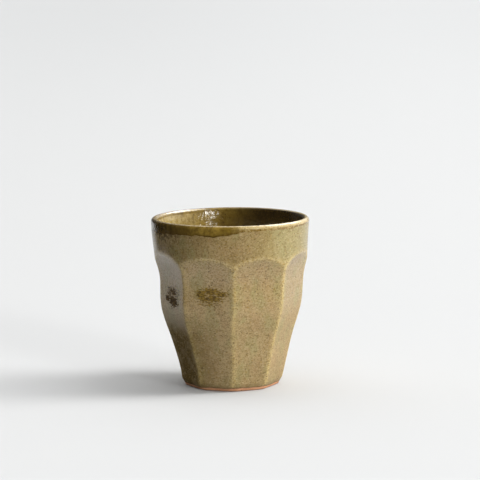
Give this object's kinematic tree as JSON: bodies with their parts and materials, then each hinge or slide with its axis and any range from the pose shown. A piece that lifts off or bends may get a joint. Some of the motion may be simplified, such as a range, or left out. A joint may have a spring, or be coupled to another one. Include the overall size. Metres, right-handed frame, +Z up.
{
  "type": "faceted stoneware cup",
  "caption": "Stoneware cup without a handle: flats cut down the wall under arched tops, a round collar and rim, speckled khaki glaze outside, olive glaze inside, and a bare foot ring.",
  "frame": {"origin": "middle of the foot, on the table", "axes": "+Z up the axis of the cup, towards the rim; -Y is the side the picture shows"},
  "size_m": [0.08, 0.08, 0.085],
  "materials": {
    "stoneware": "matte",
    "outer_glaze": "satin",
    "liner_glaze": "gloss"
  },
  "bodies": {
    "root": {"stoneware_body": "stoneware", "outer_glaze": "outer_glaze", "liner_glaze": "liner_glaze"}
  },
  "joints": []
}
